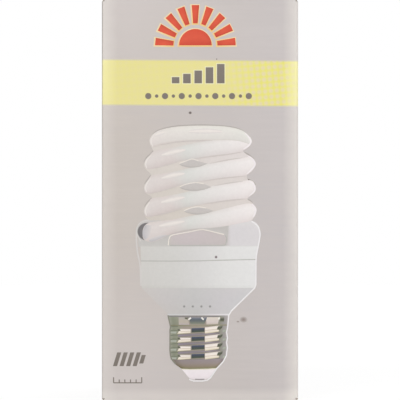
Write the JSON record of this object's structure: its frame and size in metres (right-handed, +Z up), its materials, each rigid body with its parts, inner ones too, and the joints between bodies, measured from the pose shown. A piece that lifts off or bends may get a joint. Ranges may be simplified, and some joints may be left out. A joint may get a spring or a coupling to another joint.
{
  "type": "light bulb carton",
  "caption": "Upright square folding carton with a hinged tuck-in lid and a locked floor, holding a spiral energy saving lamp with a screw cap",
  "frame": {"origin": "middle of the carton's base, on the surface it stands on", "axes": "+Z up along the carton's height, -Y towards the printed front panel, +X to the viewer's right"},
  "size_m": [0.06, 0.06, 0.1239],
  "materials": {
    "carton_board": "printed grey-white carton board with a pale yellow band",
    "phosphor_glass": "glass tube coated white inside",
    "white_plastic": "moulded, fine satin",
    "nickel_shell": "rolled nickel-plated sheet",
    "cap_ceramic": "white, glazed",
    "contact_brass": "soldered",
    "board_laminate": "paper laminate",
    "capacitor_sleeve": "shrunk sleeve",
    "ferrite": "sintered",
    "winding_tape": "wrapped tape",
    "film_resin": "dipped resin",
    "transistor_resin": "moulded resin",
    "lead_sleeve": "insulated wire"
  },
  "bodies": {
    "carton": {"carton_body": "carton_board", "spiral_tube": "phosphor_glass", "tube_cover": "white_plastic", "lamp_housing": "white_plastic", "screw_shell": "nickel_shell", "cap_insulator": "cap_ceramic", "centre_contact": "contact_brass", "circuit_board": "board_laminate", "mains_capacitor": "capacitor_sleeve", "choke_core": "ferrite", "choke_winding": "winding_tape", "drive_toroid": "ferrite", "film_capacitors": "film_resin", "power_transistors": "transistor_resin", "contact_lead": "lead_sleeve"},
    "lid": {"top_lid": "carton_board"}
  },
  "joints": [
    {"name": "lid_hinge", "type": "hinge", "parent": "carton", "child": "lid", "pos_m": [0, 0.03, 0.12338], "axis": [-1, 0, 0], "range_deg": [0, 160]}
  ]
}
